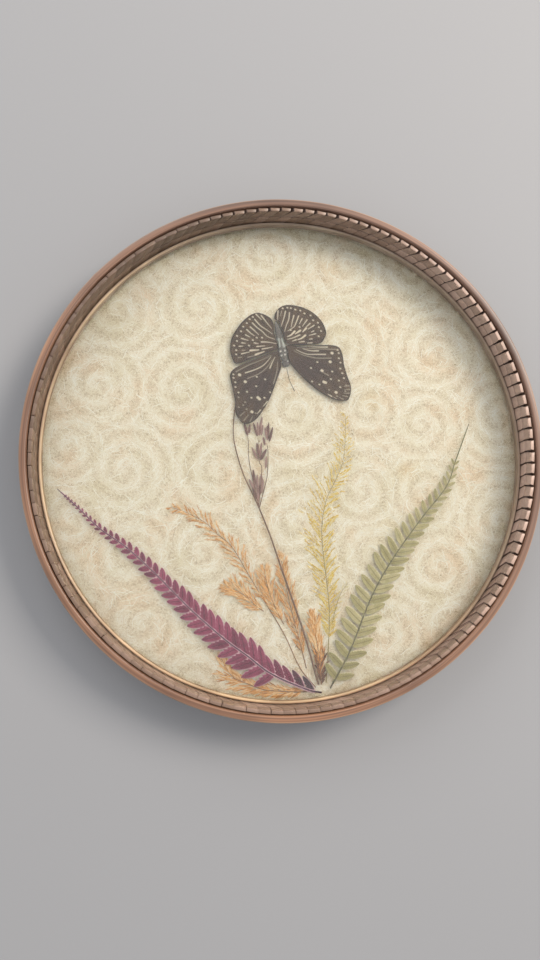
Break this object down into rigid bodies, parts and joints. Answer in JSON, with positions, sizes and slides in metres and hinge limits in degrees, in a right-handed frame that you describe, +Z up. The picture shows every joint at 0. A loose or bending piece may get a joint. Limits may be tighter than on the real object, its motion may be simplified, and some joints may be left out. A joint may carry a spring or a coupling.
{
  "type": "pressed flower frame",
  "caption": "Round bamboo tray-frame with a slatted wall, holding a pressed butterfly, ferns and grass plumes on fibre paper under a clear cover.",
  "frame": {"origin": "middle of the tray's foot, on the surface it lies on", "axes": "+Z up out of the tray's open face, +Y towards the top of the picture, +X to its right"},
  "size_m": [0.305, 0.305, 0.029],
  "materials": {
    "stained_bamboo": "satin lacquer",
    "split_bamboo": "satin lacquer",
    "cane_strip": "satin lacquer",
    "hardboard": "plain",
    "fibre_paper": "matte, long fibres",
    "clear_cover": "gloss",
    "wing_scales": "powdery",
    "insect_body": "matte",
    "purple_fern": "dry leaf",
    "green_fern": "dry leaf",
    "dry_stem": "dry straw",
    "seed_husk": "dry straw",
    "orange_plume": "dry floret",
    "yellow_plume": "dry floret",
    "pale_plume": "dry floret"
  },
  "bodies": {
    "root": {"rim_hoop": "stained_bamboo", "slat_wall": "split_bamboo", "base_hoop": "stained_bamboo", "cove_strip": "cane_strip", "backing_board": "hardboard", "fibre_paper": "fibre_paper", "clear_cover": "clear_cover", "left_hindwing": "wing_scales", "right_hindwing": "wing_scales", "left_forewing": "wing_scales", "right_forewing": "wing_scales", "butterfly_body": "insect_body", "antenna": "insect_body", "purple_fern": "purple_fern", "green_fern": "green_fern", "grass_stem": "dry_stem", "grass_head": "seed_husk", "orange_long_plume": "orange_plume", "orange_short_plume": "orange_plume", "orange_middle_plume": "orange_plume", "orange_right_plume": "orange_plume", "orange_base_plume": "orange_plume", "orange_low_sprig": "orange_plume", "yellow_plume": "yellow_plume", "pale_sprig": "pale_plume"}
  },
  "joints": []
}
